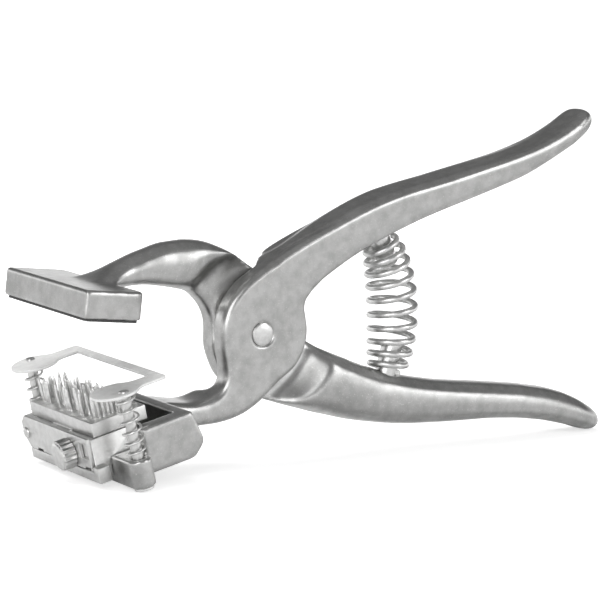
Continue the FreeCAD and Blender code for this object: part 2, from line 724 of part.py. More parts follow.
def tSlot(sketch, gap):
    """outline of the T-slot, or of the tongue, which is smaller by gap all round"""
    neck = "(Sizes.slot_neck_width / 2 - %s)" % gap
    sole = "(Sizes.slot_foot_width / 2 - %s)" % gap
    top = "-Sizes.holder_top + Sizes.slide_clearance * 3"
    shelf = "(-Sizes.holder_top - Sizes.slot_neck_depth - %s)" % gap
    base = "(-Sizes.holder_top - Sizes.slot_neck_depth - Sizes.slot_foot_depth + %s)" % gap
    polygon(sketch, [
        ("-" + neck, top), ("-" + neck, shelf), ("-" + sole, shelf), ("-" + sole, base),
        (sole, base), (sole, shelf), (neck, shelf), (neck, top),
    ])


slot = newSketch(holder, "YZ_Plane", "HolderSlot", "-Sizes.slot_end")
tSlot(slot, "0")
pocket(holder, slot, "Sizes.holder_front")
for hand in (-1, 1):
    tapped = newSketch(holder, "XY_Plane", "HolderTapped%s" % ("Near" if hand < 0 else "Far"),
                       "-Sizes.plinth_top")
    circle(tapped, ("-Sizes.holder_screw_x", "%d * Sizes.holder_screw_y" % hand),
           "Sizes.holder_screw_diameter / 2 + Sizes.press_clearance")
    pocket(holder, tapped, "Sizes.holder_screw_length - Sizes.box_bottom + Sizes.plinth_top"
           " + 2 * Sizes.slide_clearance", reverse=True)
clampBore = newSketch(holder, "YZ_Plane", "ClampBore", "-Sizes.holder_front - 1")
circle(clampBore, ("-Sizes.clamp_y", "-Sizes.clamp_z"),
       "Sizes.clamp_shank / 2 + Sizes.running_clearance")
pocket(holder, clampBore, "Sizes.clamp_shank_length + 1", reverse=True)
pivotBore = newSketch(holder, "YZ_Plane", "GatePivotBore", "-Sizes.holder_front - 1")
circle(pivotBore, ("Sizes.gate_pivot_y", "-Sizes.gate_pivot_z"),
       "Sizes.gate_screw_diameter / 2 + Sizes.press_clearance")
pocket(holder, pivotBore, "Sizes.gate_screw_length", reverse=True)
keep(holder, "holder_block", headFrame)

# Screws under the plinth, as one group
screws = []
for hand in (-1, 1):
    screw = newBody("holder_screw_%s" % ("near" if hand < 0 else "far"))
    turned = newSketch(screw, "XZ_Plane", screw.Name + "Turned")
    shankRadius = "Sizes.holder_screw_diameter / 2"
    headRadius = "Sizes.holder_screw_head / 2"
    polygon(turned, [
        ("0", "0"), (headRadius, "0"), (headRadius, "Sizes.holder_screw_head_height"),
        (shankRadius, "Sizes.holder_screw_head_height"),
        (shankRadius, "Sizes.holder_screw_length"), ("0", "Sizes.holder_screw_length"),
    ])
    turn(screw, turned)
    driver = newSketch(screw, "XY_Plane", screw.Name + "Slot", "Sizes.screw_slot_depth")
    rectangle(driver, "-Sizes.screw_slot_width / 2", "Sizes.screw_slot_width / 2",
              "-Sizes.holder_screw_head", "Sizes.holder_screw_head")
    pocket(screw, driver, "Sizes.screw_slot_depth")
    screw.Placement = Placement(Vector(-size("holder_screw_x"), hand * size("holder_screw_y"),
                                       -size("box_bottom")), Rotation())
    screws.append(screw)
screwPair = doc.addObject("Part::Compound", "screw_pair")
screwPair.Links = screws
doc.recompute()
keep(screwPair, "holder_screws", headFrame)

# Cassette: a tray for five digits on a T-tongue
cassette = newBody("cassette")
tray = newSketch(cassette, "XY_Plane", "Tray", "-Sizes.cassette_bottom")
rectangle(tray, "-Sizes.cassette_front", "-Sizes.cassette_back",
          "-Sizes.holder_width / 2", "Sizes.holder_width / 2")
pad(cassette, tray, "Sizes.cassette_bottom - Sizes.cassette_top")
tongue = newSketch(cassette, "YZ_Plane", "Tongue", "-Sizes.holder_front + Sizes.slide_clearance")
tSlot(tongue, "Sizes.slide_clearance")
pad(cassette, tongue, "Sizes.holder_front - Sizes.slot_end - 2 * Sizes.slide_clearance")
well = newSketch(cassette, "XY_Plane", "Well", "-Sizes.cassette_top")
halfWell = "(Sizes.digit_count * Sizes.digit_pitch / 2 + Sizes.digit_gap / 2)"
rectangle(well, "-Sizes.digit_front - Sizes.digit_gap",
          "-Sizes.digit_front + Sizes.digit_length + Sizes.digit_gap", "-" + halfWell, halfWell)
pocket(cassette, well, "Sizes.cassette_floor - Sizes.cassette_top")
keep(cassette, "digit_cassette", headFrame)

# Digits: needles stand in a numeral, drawn mirrored so that the mark reads right
numerals = {
    1: ["..X.", ".XX.", "..X.", "..X.", "..X.", ".XXX"],
    2: [".XX.", "X..X", "...X", "..X.", ".X..", "XXXX"],
    3: ["XXX.", "...X", ".XX.", "...X", "...X", "XXX."],
    4: ["..X.", ".XX.", "X.X.", "XXXX", "..X.", "..X."],
    5: ["XXXX", "X...", "XXX.", "...X", "X..X", ".XX."],
}
for number, rows in numerals.items():
    place = number - 3
    digit = newBody("digit_%d_body" % number)
    base = newSketch(digit, "XY_Plane", "DigitBase%d" % number, "-Sizes.cassette_floor")
    left = "(%d - 0.5) * Sizes.digit_pitch + Sizes.digit_gap / 2" % place
    right = "(%d + 0.5) * Sizes.digit_pitch - Sizes.digit_gap / 2" % place
    rectangle(base, "-Sizes.digit_front", "-Sizes.digit_front + Sizes.digit_length", left, right)
    pad(digit, base, "Sizes.cassette_floor - Sizes.cassette_top - Sizes.digit_rim")

    spots = []
    for i, row in enumerate(rows):
        for j, mark in enumerate(row):
            if mark == "X":
                across = "%d * Sizes.digit_pitch + %.1f * Sizes.needle_column_pitch" % (
                    place, 1.5 - j)
                along = "-Sizes.digit_front + Sizes.digit_length / 2" \
                        " + %.1f * Sizes.needle_row_pitch" % (i - 2.5)
                spots.append((along, across))
    shanks = newSketch(digit, "XY_Plane", "Needles%d" % number,
                       "-Sizes.cassette_top - Sizes.digit_rim")
    points = newSketch(digit, "XY_Plane", "Points%d" % number, "Sizes.needle_tips")
    for spot in spots:
        circle(shanks, spot, "Sizes.needle_diameter / 2")
        circle(points, spot, "Sizes.needle_diameter / 2"
               " - Sizes.needle_point_length * tan(Sizes.needle_point_taper * 1deg)")
    pad(digit, shanks, "Sizes.cassette_top + Sizes.digit_rim + Sizes.needle_tips"
        " - Sizes.needle_point_length")
    pad(digit, points, "Sizes.needle_point_length", reverse=True,
        taper="Sizes.needle_point_taper")
    keep(digit, "digit_%d" % number, headFrame)

# Gate: a plate that swings on a screw at its far end and hooks over the clamp screw
gate = newBody("gate")
plate = newSketch(gate, "YZ_Plane", "GatePlan", "-Sizes.bar_front")
clampLeft = "-Sizes.clamp_y - Sizes.clamp_slot_width / 2"
clampRight = "-Sizes.clamp_y + Sizes.clamp_slot_width / 2"
polygon(plate, [
    ("-Sizes.gate_near", "-Sizes.gate_top"),
    ("-Sizes.gate_near", "-Sizes.gate_bottom"),
    (clampLeft, "-Sizes.gate_bottom"), (clampLeft, "-Sizes.clamp_z"),
    (clampRight, "-Sizes.clamp_z"), (clampRight, "-Sizes.gate_bottom"),
    ("Sizes.gate_far - 1.4 * Sizes.gate_chamfer", "-Sizes.gate_bottom"),
    ("Sizes.gate_far", "-Sizes.gate_bottom + 1.6 * Sizes.gate_chamfer"),
    ("Sizes.gate_far", "-Sizes.gate_top - Sizes.gate_chamfer"),
    ("Sizes.gate_far - Sizes.gate_chamfer", "-Sizes.gate_top"),
])
pad(gate, plate, "Sizes.gate_thickness")
crown = newSketch(gate, "YZ_Plane", "GateCrown", "-Sizes.bar_front")
circle(crown, ("-Sizes.clamp_y", "-Sizes.clamp_z"), "Sizes.clamp_slot_width / 2")
pocket(gate, crown, "Sizes.gate_thickness", reverse=True)
eye = newSketch(gate, "YZ_Plane", "GateEye", "-Sizes.bar_front")
circle(eye, ("Sizes.gate_pivot_y", "-Sizes.gate_pivot_z"),
       "Sizes.gate_screw_diameter / 2 + Sizes.running_clearance")
pocket(gate, eye, "Sizes.gate_thickness", reverse=True)
notches = newSketch(gate, "YZ_Plane", "GateNotches", "-Sizes.bar_front")
for middle in ("-Sizes.gate_notch_near", "Sizes.gate_notch_far"):
    rectangle(notches, middle + " - Sizes.gate_notch_width / 2",
              middle + " + Sizes.gate_notch_width / 2",
              "-Sizes.gate_bottom - 1", "-Sizes.gate_bottom + Sizes.gate_notch_depth")
pocket(gate, notches, "Sizes.gate_thickness", reverse=True)
window = newSketch(gate, "YZ_Plane", "GateWindow", "-Sizes.bar_front")
rectangle(window, "-Sizes.gate_window_near", "-Sizes.gate_window_far",
          "-Sizes.gate_window_bottom", "-Sizes.gate_window_top")
pocket(gate, window, "Sizes.gate_thickness", reverse=True)
keep(gate, "gate_plate", headFrame)

# Screws that hold the gate, both along X
forward = Rotation(Vector(0, 0, 1), Vector(1, 0, 0))
gateScrew = newBody("gate_screw")
turned = newSketch(gateScrew, "XZ_Plane", "GateScrewTurned")
polygon(turned, [
    ("0", "0"), ("Sizes.gate_screw_head / 2 - 0.3", "0"), ("Sizes.gate_screw_head / 2", "0.3"),
    ("Sizes.gate_screw_head / 2", "Sizes.gate_screw_head_height"),
    ("Sizes.gate_screw_diameter / 2", "Sizes.gate_screw_head_height"),
    ("Sizes.gate_screw_diameter / 2", "Sizes.gate_screw_head_height + Sizes.gate_screw_length"),
    ("0", "Sizes.gate_screw_head_height + Sizes.gate_screw_length"),
])
turn(gateScrew, turned)
gateScrewFace = size("bar_front") + size("running_clearance") + size("gate_screw_head_height")
keep(gateScrew, "gate_pivot_screw", headFrame.multiply(Placement(
    Vector(-gateScrewFace, size("gate_pivot_y"), -size("gate_pivot_z")), forward)))

clamp = newBody("clamp")
turned = newSketch(clamp, "XZ_Plane", "ClampTurned")
polygon(turned, [
    ("0", "0"), ("Sizes.clamp_head / 2 - 0.6", "0"), ("Sizes.clamp_head / 2", "0.6"),
    ("Sizes.clamp_head / 2", "Sizes.clamp_head_length"),
    ("Sizes.clamp_shank / 2", "Sizes.clamp_head_length"),
    ("Sizes.clamp_shank / 2", "Sizes.clamp_head_length + Sizes.clamp_shank_length"),
    ("0", "Sizes.clamp_head_length + Sizes.clamp_shank_length"),
])
turn(clamp, turned)
flute = newSketch(clamp, "XY_Plane", "ClampFlute")
circle(flute, ("Sizes.clamp_head / 2 + Sizes.clamp_flute * 0.15", "0"), "Sizes.clamp_flute / 2")
groove = pocket(clamp, flute, "Sizes.clamp_head_length", reverse=True)
knurl = clamp.newObject("PartDesign::PolarPattern", "Knurl")
knurl.Originals = [groove]
knurl.Axis = (flute, ["N_Axis"])
knurl.Angle = 360
knurl.setExpression("Occurrences", "Sizes.clamp_flutes")
clamp.Tip = knurl
doc.recompute()
clampFace = size("bar_front") + size("running_clearance") + size("clamp_head_length")
keep(clamp, "clamp_screw", headFrame.multiply(Placement(
    Vector(-clampFace, -size("clamp_y"), -size("clamp_z")), forward)))

# Release plate: a U of sheet that the guide pins carry above the needles
release = newBody("release")
outline = newSketch(release, "XY_Plane", "PlateOutline", "Sizes.plate_top")
outerY = "Sizes.plate_width / 2"
innerY = "Sizes.plate_window / 2"
legEnd = "-Sizes.guide_x"
polygon(outline, [
    ("-Sizes.plate_back", "-" + outerY), ("-Sizes.plate_back", outerY), (legEnd, outerY),
    (legEnd, innerY), ("-Sizes.plate_back - Sizes.plate_back_bar", innerY),
    ("-Sizes.plate_back - Sizes.plate_back_bar", "-" + innerY), (legEnd, "-" + innerY),
    (legEnd, "-" + outerY),
])
pad(release, outline, "Sizes.plate_thickness", reverse=True)
roundEdges(release, "Sizes.plate_corner", lambda box, middle: (
    isUpright(box) and near(box.XMin, -size("plate_back"))))
for hand in (-1, 1):
    lobe = newSketch(release, "XY_Plane", "PlateEar%s" % ("Near" if hand < 0 else "Far"),
                     "Sizes.plate_top")
    circle(lobe, ("-Sizes.guide_x - Sizes.plate_ear_lead", "%d * Sizes.plate_ear_y" % hand),
           "Sizes.plate_ear_radius")
    pad(release, lobe, "Sizes.plate_thickness", reverse=True)
# each leg runs into its ear in a soft curve
legSides = (size("plate_width") / 2, size("plate_window") / 2)
earCentre = -size("guide_x") - size("plate_ear_lead")
roundEdges(release, "Sizes.plate_ear_blend", lambda box, middle: (
    isUpright(box) and abs(box.XMin - earCentre) < size("plate_ear_radius")
    and (near(abs(box.YMin), legSides[0]) or near(abs(box.YMin), legSides[1]))))
for hand in (-1, 1):
    hole = newSketch(release, "XY_Plane", "PlatePinHole%s" % ("Near" if hand < 0 else "Far"),
                     "Sizes.plate_top")
    circle(hole, ("-Sizes.guide_x", "%d * Sizes.guide_y" % hand),
           "Sizes.pin_neck / 2 + Sizes.press_clearance")
    pocket(release, hole, "Sizes.plate_thickness")
keep(release, "release_plate", headFrame)

# Guide pins with their rings and springs
for hand, label in ((-1, "near"), (1, "far")):
    guideLine = Vector(-size("guide_x"), hand * size("guide_y"), 0)
    pin = newBody("pin_" + label)
    turned = newSketch(pin, "XZ_Plane", "Pin%sTurned" % label)
    pinRadius = "Sizes.pin_diameter / 2"
    headRadius = "Sizes.pin_head_diameter / 2"
    shoulder = "Sizes.plate_top - Sizes.plate_thickness"
    polygon(turned, [
        ("0", "-Sizes.pin_end"), (pinRadius + " - Sizes.pin_chamfer", "-Sizes.pin_end"),
        (pinRadius, "-Sizes.pin_end + Sizes.pin_chamfer"), (pinRadius, shoulder),
        ("Sizes.pin_neck / 2", shoulder), ("Sizes.pin_neck / 2", "Sizes.plate_top"),
        (headRadius, "Sizes.plate_top"),
        (headRadius + " - Sizes.pin_chamfer", "Sizes.plate_top + Sizes.pin_head_height"),
        ("0", "Sizes.plate_top + Sizes.pin_head_height"),
    ])
    turn(pin, turned)
    onGuide = headFrame.multiply(Placement(guideLine, Rotation()))
    keep(pin, "guide_pin_" + label, onGuide)

    ring = newBody("ring_" + label)
    turned = newSketch(ring, "XZ_Plane", "Ring%sTurned" % label)
    ringTop = "-Sizes.box_bottom - Sizes.slide_clearance"
    boreRadius = "Sizes.pin_diameter / 2 + Sizes.press_clearance"
    rectangle(turned, boreRadius, "Sizes.ring_diameter / 2",
              ringTop + " - Sizes.ring_thickness", ringTop)
    turn(ring, turned)
    keep(ring, "retaining_ring_" + label, onGuide)

    up = Vector(0, 0, 1)
    endGap = size("slide_clearance") + size("release_wire") / 2
    coilFoot = up * (endGap - size("ear_top"))
    coilTop = up * (size("plate_top") - size("plate_thickness") - endGap)
    coilRadius = (size("release_spring_diameter") - size("release_wire")) / 2
    spring = coil("release_coil_" + label, size("release_wire"), int(size("release_turns")),
                  lambda t: coilRadius, bentLine(coilFoot, up, coilTop, up))
    keep(spring, "release_spring_" + label, onGuide)

doc.recompute()

# The origin lies under the middle of the tool, on the surface that it stands on
extent = FreeCAD.BoundBox()
for piece in pieces:
    extent.add(piece.Shape.optimalBoundingBox(False))
shift = Vector(-extent.Center.x, -extent.Center.y, -extent.ZMin)
for piece in pieces:
    piece.Placement = Placement(shift, Rotation()).multiply(piece.Placement)

doc.recompute()
for item in doc.Objects:
    if "Invalid" in item.State or "Error" in item.State:
        raise RuntimeError(item.Label + " failed: " + str(item.State))
os.makedirs("parts", exist_ok=True)
for piece in pieces:
    if piece.Shape.isNull() or not piece.Shape.isValid():
        raise RuntimeError(piece.Label + " has no valid shape")
    piece.Shape.exportStep("parts/" + piece.Label + ".step")
print("pivot at", shift)
print(len(pieces), "pieces,", extent)
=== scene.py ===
import json
import math
import random

import bmesh
import bpy
from mathutils import Matrix, Vector


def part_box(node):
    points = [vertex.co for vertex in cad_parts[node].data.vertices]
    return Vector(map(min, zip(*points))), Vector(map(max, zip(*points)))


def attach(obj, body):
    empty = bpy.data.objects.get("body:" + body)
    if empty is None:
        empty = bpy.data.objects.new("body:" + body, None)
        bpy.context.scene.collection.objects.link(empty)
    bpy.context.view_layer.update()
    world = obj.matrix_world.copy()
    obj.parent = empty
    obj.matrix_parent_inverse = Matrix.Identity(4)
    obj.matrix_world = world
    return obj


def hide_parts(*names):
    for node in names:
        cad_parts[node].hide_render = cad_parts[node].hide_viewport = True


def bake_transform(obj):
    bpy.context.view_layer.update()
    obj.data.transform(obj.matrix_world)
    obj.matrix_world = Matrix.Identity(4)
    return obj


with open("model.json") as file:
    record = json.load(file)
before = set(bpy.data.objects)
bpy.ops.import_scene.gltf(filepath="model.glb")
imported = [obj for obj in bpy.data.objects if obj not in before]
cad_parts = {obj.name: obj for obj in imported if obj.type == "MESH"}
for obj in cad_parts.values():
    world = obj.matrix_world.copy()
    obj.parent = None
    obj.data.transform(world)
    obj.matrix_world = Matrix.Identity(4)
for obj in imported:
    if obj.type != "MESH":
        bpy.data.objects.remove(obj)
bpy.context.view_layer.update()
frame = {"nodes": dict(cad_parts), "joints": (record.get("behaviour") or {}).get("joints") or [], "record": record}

# Ear tattoo pliers on a white table: the castings, springs, head and release plate
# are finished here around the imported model. Lengths are metres unless a note says mm,
# angles are degrees.

nodes = frame["nodes"]
mm = 0.001


# Small helpers

def linearColour(hexCode):
    parts = [int(hexCode[i:i + 2], 16) / 255 for i in (1, 3, 5)]
    light = [c / 12.92 if c <= 0.04045 else ((c + 0.055) / 1.055) ** 2.4 for c in parts]
    return light + [1.0]


def addObject(name, content):
    made = bpy.data.objects.new(name, content)
    bpy.context.scene.collection.objects.link(made)
    return made


def finished(piece):
    # what the modifiers or the curve give becomes a mesh
    seen = piece.evaluated_get(bpy.context.evaluated_depsgraph_get())
    return bpy.data.meshes.new_from_object(seen)


def ramp(value, low, high):
    return min(max((value - low) / (high - low), 0.0), 1.0)


def smoothStep(value):
    return value * value * (3 - 2 * value)


def bodyOf(name):
    bodies = frame["record"]["behaviour"]["bodies"]
    return [body for body, members in bodies.items() if name in members][0]


def standIn(piece, name):
    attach(piece, bodyOf(name))
    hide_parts(name)


print("scene: frame loaded,", len(nodes), "nodes")


# Node helpers

def addNode(tree, kind, settings=None, links=None):
    # settings are node attributes or input values, links are sockets of other nodes
    node = tree.nodes.new(kind)
    for name, value in (settings or {}).items():
        if isinstance(name, str) and hasattr(node, name):
            setattr(node, name, value)
        else:
            node.inputs[name].default_value = value
    for name, source in (links or {}).items():
        tree.links.new(source, node.inputs[name])
    return node


def addNoise(tree, place, size, detail, roughness=0.5):
    # size is the width of one patch in mm
    return addNode(tree, "ShaderNodeTexNoise",
                   {"Scale": 1 / (size * mm), "Detail": detail, "Roughness": roughness},
                   {"Vector": place}).outputs[0]


def addRange(tree, value, low, high, first=0.0, last=1.0, kind="LINEAR"):
    # a value that runs from low to high comes out from first to last
    return addNode(tree, "ShaderNodeMapRange",
                   {"interpolation_type": kind, "From Min": low, "From Max": high,
                    "To Min": first, "To Max": last}, {"Value": value}).outputs[0]


def addMix(tree, share, first, second):
    # the two colours are hex codes or sockets
    mix = addNode(tree, "ShaderNodeMix", {"data_type": "RGBA"}, {0: share})
    for slot, colour in ((6, first), (7, second)):
        if isinstance(colour, str):
            mix.inputs[slot].default_value = linearColour(colour)
        else:
            tree.links.new(colour, mix.inputs[slot])
    return mix.outputs[2]


def startMaterial(name):
    material = bpy.data.materials.new(name)
    material.use_nodes = True
    tree = material.node_tree
    tree.nodes.clear()
    place = addNode(tree, "ShaderNodeTexCoord").outputs["Object"]
    return material, tree, place


# Metal finishes

# mottle, grain and edge are the width in mm of a cloud, a grain and a painted edge band (rubbed
# wear with a painted highlight; a painted shade on the rolled sheet); roughness swings by
# roughSpread, and speck is how bright the highest grains get
finishes = {
    # sand-cast, tumbled and plated: a satin skin, faintly clouded, with tiny bright specks
    "castNickel": dict(base="#c2c2c1", dark="#aaaaa9", rough=0.31, roughSpread=0.03,
                       mottle=4.0, grain=0.5, bump=0.10, speck=0.5,
                       edge=0.6, speckAndPaintedEdgeColour="#f0f0ee"),
    # milled and plated block: paler and finer than the castings
    "milledBlock": dict(base="#e0e0df", dark="#d0d0cf", rough=0.34, roughSpread=0.04,
                        mottle=2.6, grain=0.5, bump=0.04, speck=0.2,
                        edge=0.3, speckAndPaintedEdgeColour="#fbfbfa"),
    # rolled sheet: a pale matt bloom with soft stains, and a painted shade that darkens its edges
    "rolledSheet": dict(base="#f6f6f5", dark="#e8e8e7", rough=0.50, roughSpread=0.06,
                        mottle=3.0, grain=0.6, bump=0.02, speck=0.0, metallic=0.25,
                        edge=0.5, speckAndPaintedEdgeColour="#5c5c5b"),
    # turned steel: rivet, screws, pins and pegs
    "turnedSteel": dict(base="#e2e2e1", dark="#cececd", rough=0.33, roughSpread=0.04,
                        mottle=1.6, grain=0.3, bump=0.03, speck=0.2,
                        edge=0.25, speckAndPaintedEdgeColour="#fbfbfa"),
    # drawn and plated wire: bright, with dulled patches
    "platedWire": dict(base="#e8e8e7", dark="#cfcfce", rough=0.34, roughSpread=0.04,
                       mottle=1.6, grain=0.4, bump=0.02, speck=0.0,
                       edge=0.0, speckAndPaintedEdgeColour="#ffffff"),
    # ground needles: bright points on a duller shank, the points brightened partly by a painted edge highlight
    "groundNeedle": dict(base="#f0f0ef", dark="#d0d0cf", rough=0.34, roughSpread=0.04,
                         mottle=1.6, grain=0.3, bump=0.0, speck=0.0,
                         edge=0.15, speckAndPaintedEdgeColour="#ffffff"),
}
patterns = dict(
    # the noise heights between which each effect comes in, and for edges the cosine
    # between the rounded-off normal and the face's own
    cloud=(0.62, 0.98), polish=(0.4, 1.1), speck=(0.63, 0.72), edge=(0.995, 0.90),
    broadest=6.0, broadShare=0.6, reliefHeight=0.1 * mm)


def metalFinish(name, values):
    material, tree, place = startMaterial(name)
    cloud = addNoise(tree, place, values["mottle"], 4.0, 0.6)
    broad = addNoise(tree, place, values["mottle"] * patterns["broadest"], 2.0)
    grain = addNoise(tree, place, values["grain"], 2.0, 0.6)
    patch = addNode(tree, "ShaderNodeMath",
                    {"operation": "MULTIPLY_ADD", 1: patterns["broadShare"]},
                    {0: broad, 2: cloud}).outputs[0]
    spread = addRange(tree, patch, *patterns["cloud"])
    colour = addMix(tree, spread, values["dark"], values["base"])
    if values["speck"]:
        # the highest grains are rubbed bright
        high = addRange(tree, grain, *patterns["speck"], 0.0, values["speck"])
        colour = addMix(tree, high, colour, values["speckAndPaintedEdgeColour"])
    if values["edge"]:
        # edges painted brighter, partly as rubbed wear and partly as a painted highlight, and on the
        # rolled sheet darker as a painted shade: where the rounded-off normal leaves the face's own
        soft = addNode(tree, "ShaderNodeBevel", {"samples": 6, "Radius": values["edge"] * mm})
        own = addNode(tree, "ShaderNodeNewGeometry")
        turned = addNode(tree, "ShaderNodeVectorMath", {"operation": "DOT_PRODUCT"},
                         {0: soft.outputs[0], 1: own.outputs["Normal"]})
        wearAndPaintedEdge = addRange(tree, turned.outputs[1], *patterns["edge"])
        wearAndPaintedEdgeShare = addNode(tree, "ShaderNodeMath", {"operation": "MULTIPLY"}, {0: wearAndPaintedEdge, 1: cloud})
        colour = addMix(tree, wearAndPaintedEdgeShare.outputs[0], colour, values["speckAndPaintedEdgeColour"])
    roughness = addRange(tree, patch, *patterns["polish"],
                         values["rough"] + values["roughSpread"],
                         values["rough"] - values["roughSpread"])
    relief = addNode(tree, "ShaderNodeBump",
                     {"Strength": values["bump"], "Distance": patterns["reliefHeight"]},
                     {"Height": grain})
    metal = addNode(tree, "ShaderNodeBsdfPrincipled", {"Metallic": values.get("metallic", 1.0)},
                    {"Base Color": colour, "Roughness": roughness,
                     "Normal": relief.outputs[0]})
    addNode(tree, "ShaderNodeOutputMaterial", links={"Surface": metal.outputs[0]})
    return material


metals = {name: metalFinish(name, values) for name, values in finishes.items()}

rubberPad = dict(base="#454545", dark="#2e2e2e", rough=0.6, ior=1.52, grain=0.6,
                 bump=0.2, reliefHeight=0.05 * mm)


def rubberFinish(name, values):
    # moulded rubber: dark, with a soft sheen
    material, tree, place = startMaterial(name)
    grain = addNoise(tree, place, values["grain"], 3.0)
    tone = addMix(tree, grain, values["dark"], values["base"])
    relief = addNode(tree, "ShaderNodeBump",
                     {"Strength": values["bump"], "Distance": values["reliefHeight"]},
                     {"Height": grain})
    body = addNode(tree, "ShaderNodeBsdfPrincipled",
                   {"Roughness": values["rough"], "IOR": values["ior"]},
                   {"Base Color": tone, "Normal": relief.outputs[0]})
    addNode(tree, "ShaderNodeOutputMaterial", links={"Surface": body.outputs[0]})
    return material


rubber = rubberFinish("mouldedRubber", rubberPad)

finishOf = {
    "lower_jaw_casting": metals["castNickel"],
    "upper_jaw_casting": metals["castNickel"],
    "anvil_pad": rubber,
    "pivot_rivet": metals["turnedSteel"],
    "upper_spring_peg": metals["turnedSteel"],
    "lower_spring_peg": metals["turnedSteel"],
    "main_spring": metals["platedWire"],
    "holder_block": metals["milledBlock"],
    "holder_screws": metals["turnedSteel"],
    "digit_cassette": metals["milledBlock"],
    "gate_plate": metals["milledBlock"],
    "gate_pivot_screw": metals["turnedSteel"],
    "clamp_screw": metals["turnedSteel"],
    "release_plate": metals["rolledSheet"],
    "guide_pin_near": metals["turnedSteel"],
    "guide_pin_far": metals["turnedSteel"],
    "retaining_ring_near": metals["rolledSheet"],
    "retaining_ring_far": metals["rolledSheet"],
    "release_spring_near": metals["platedWire"],
    "release_spring_far": metals["platedWire"],
}
for digit in range(1, 6):
    finishOf["digit_%d" % digit] = metals["groundNeedle"]

for name, finish in finishOf.items():
    shape = nodes[name].data
    shape.materials.clear()
    shape.materials.append(finish)
print("scene: finishes assigned")


# Castings

pivot = sum(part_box("pivot_rivet"), Vector()) / 2

halfWidth = 9.0  # mm, half of a casting's width away from the lap
castings = {
    # All in mm from the pivot. voxel is the size of the new skin's faces. A limb's spine
    # runs along the middle of its side view: x, z and the half height, then how much taller
    # and how much wider the limb gets there. It is reshaped where its fades are past their
    # second value, and its section is whole beyond brim. The powers round the section: 2 is
    # an ellipse, more is squarer. A zone is softened by its amount inside a box.
    "lower_jaw_casting": dict(
        label="lowerJawCasting", voxel=0.6, light=4, heavy=300, fade=9.0,
        keptSide=-1, lap=(23.0, 28.0), roundsOver=(21.0, 32.0), nearPower=9.0, farPower=3.6,
        farTaller=0.2, tallerOver=(24, 70),
        limbs=[
            dict(brim=25.5, fades=dict(x=(-8, 0), z=(0, 5)),
                 spine=[(14, 25, 12.5, 1.0, 1.0), (30, 29.5, 10.5, 1.0, 1.0),
                        (45, 36, 9.6, 1.02, 1.0), (60, 41.5, 8.5, 1.03, 1.0),
                        (80, 47.5, 6.6, 1.04, 1.0), (100, 54, 5.6, 1.06, 1.0),
                        (120, 61.5, 4.5, 1.1, 1.0), (135, 69, 3.8, 1.18, 1.0),
                        (142, 73, 3.2, 1.3, 1.0)]),
        ],
        zones=[
            dict(x=(-6, 150), y=(2, 14), z=(10, 90), amount=0.2),
            dict(x=(20, 150), y=(-12, 2), z=(10, 90), amount=0.05),
            dict(x=(136, 150), y=(-12, 12), z=(60, 90), amount=1.0),
            dict(x=(-34, -11), y=(-12, 12), z=(-36, 20), amount=0.25),
        ]),
    "upper_jaw_casting": dict(
        label="upperJawCasting", voxel=0.6, light=4, heavy=300, fade=9.0,
        keptSide=1, lap=(23.5, 33.0), roundsOver=(21.5, 37.0), nearPower=2.6, farPower=2.6,
        farTaller=0.0, tallerOver=(24, 70),
        limbs=[
            dict(brim=31.0, fades=dict(x=(10, 16)),
                 spine=[(24, -17, 12.8, 1.04, 1.0), (34, -21.5, 10.6, 1.1, 1.0),
                        (50, -26.3, 8.6, 1.16, 0.98), (68.8, -28.8, 7.0, 1.2, 0.96),
                        (91, -30.7, 5.8, 1.24, 0.95), (113.5, -32.5, 5.4, 1.2, 0.95),
                        (128, -34.8, 4.9, 1.18, 0.95), (140, -38, 4.7, 1.15, 0.95),
                        (150, -41.2, 4.2, 1.1, 0.95)]),
            dict(brim=37.0, tip=(-62, -58), fades=dict(x=(-10, -16), y=(12, 9.5)),
                 spine=[(-61, 20.0, 3.1, 1.0, 1.25), (-57, 21.4, 3.1, 1.25, 0.95),
                        (-52, 23.0, 3.4, 1.5, 0.78), (-48, 23.9, 3.8, 1.52, 0.72),
                        (-41, 25.1, 5.2, 1.32, 0.72), (-33, 25.0, 7.2, 1.16, 0.78),
                        (-26, 23.5, 8.6, 1.1, 0.88), (-19, 20.2, 10.6, 1.04, 1.0)]),
        ],
        zones=[
            dict(x=(-66, -48), y=(-12, 12), z=(19, 40), amount=0.5),
            dict(x=(-48, -34), y=(-12, 12), z=(8, 40), amount=0.2),
            dict(x=(-36, -12), y=(-12, 1), z=(2, 38), amount=1.0),
            dict(x=(12, 36), y=(-12, 1), z=(-40, 0), amount=0.9),
            dict(x=(36, 160), y=(-12, 12), z=(-50, 0), amount=0.15),
            dict(x=(146, 160), y=(-12, 12), z=(-50, -28), amount=1.0),
        ]),
}


def mergedCopy(name, label):
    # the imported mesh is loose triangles, so the copy's corners are joined first
    mesh = nodes[name].data.copy()
    shape = bmesh.new()
    shape.from_mesh(mesh)
    bmesh.ops.remove_doubles(shape, verts=shape.verts, dist=0.001 * mm)
    if "custom_normal" in mesh.attributes:
        mesh.attributes.remove(mesh.attributes["custom_normal"])
    shape.to_mesh(mesh)
    shape.free()
    return addObject(label, mesh)


def applyModifiers(piece):
    mesh = finished(piece)
    piece.modifiers.clear()
    piece.data = mesh
    return mesh


def softness(place, zones, fade):
    spot = (place - pivot) / mm
    best = 0.0
    for zone in zones:
        share = zone["amount"]
        for axis, amount in zip("xyz", spot):
            low, high = zone[axis]
            share *= ramp(amount, low - fade / 2, low + fade / 2)
            share *= ramp(amount, high + fade / 2, high - fade / 2)
        best = max(best, share)
    return best


